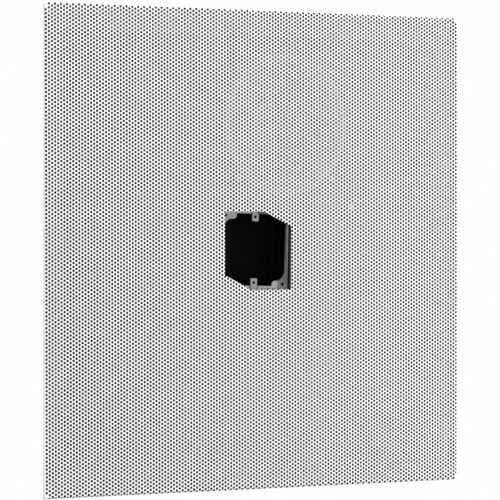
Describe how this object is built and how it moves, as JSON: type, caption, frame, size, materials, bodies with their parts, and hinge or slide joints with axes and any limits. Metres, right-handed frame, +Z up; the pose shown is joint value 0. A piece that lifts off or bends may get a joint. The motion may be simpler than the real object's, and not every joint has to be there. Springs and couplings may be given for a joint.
{
  "type": "ceiling tile speaker",
  "caption": "Lay-in ceiling tile speaker: perforated folded face with a window to a device box, and a cone driver with line transformer on the baffle behind.",
  "frame": {"origin": "centre of the face, in the plane of the face", "axes": "+Z up into the ceiling space, away from the room; -Y towards the driver; the face lies in XY and looks down"},
  "size_m": [0.6032, 0.6032, 0.0931],
  "materials": {
    "white_paint": "satin",
    "black_paint": "matt",
    "box_paint": "matt",
    "ring_zinc": "dull",
    "bracket_zinc": "dull",
    "rivet_aluminium": "satin",
    "screw_steel": "bright",
    "basket_paint": "satin",
    "gasket_board": "matt",
    "surround_cloth": "matt",
    "cone_paper": "matt",
    "cap_paper": "matt",
    "former_foil": "satin",
    "copper_wire": "lacquered",
    "spider_cloth": "matt",
    "motor_steel": "zinc plated",
    "ferrite": "matt",
    "fibre_board": "matt",
    "tinned_brass": "tinned",
    "core_steel": "varnished",
    "bobbin_plastic": "moulded",
    "winding_tape": "taped",
    "block_plastic": "moulded",
    "clip_plastic": "moulded"
  },
  "bodies": {
    "tile": {"face_panel": "white_paint", "baffle_plate": "black_paint", "outlet_box": "box_paint", "box_ring": "ring_zinc", "box_bracket_left": "bracket_zinc", "box_bracket_right": "bracket_zinc", "tie_off_lugs": "bracket_zinc", "transformer_strap": "bracket_zinc", "baffle_rivets": "rivet_aluminium", "bracket_rivets": "rivet_aluminium", "transformer_rivets": "rivet_aluminium", "lug_rivets": "rivet_aluminium", "board_rivet": "rivet_aluminium", "driver_screws": "screw_steel", "driver_nuts": "screw_steel", "clip_screw": "screw_steel", "clip_nut": "screw_steel", "block_screws": "screw_steel", "driver_basket": "basket_paint", "driver_gasket": "gasket_board", "surround": "surround_cloth", "spider": "spider_cloth", "top_plate": "motor_steel", "pole_yoke": "motor_steel", "magnet": "ferrite", "terminal_board": "fibre_board", "terminal_lugs": "tinned_brass", "terminal_screws": "tinned_brass", "transformer_core": "core_steel", "transformer_bobbin": "bobbin_plastic", "transformer_winding": "winding_tape", "terminal_block": "block_plastic", "cable_clip": "clip_plastic"},
    "moving_cone": {"cone": "cone_paper", "whizzer_cone": "cap_paper", "dust_cap": "cap_paper", "coil_former": "former_foil", "coil_winding": "copper_wire"}
  },
  "joints": [
    {"name": "cone_travel", "type": "slide", "parent": "tile", "child": "moving_cone", "axis": [0, 0, 1], "range_m": [-0.003, 0.003], "stiffness_N_per_m": 1100, "deforming": ["surround", "spider"]}
  ]
}
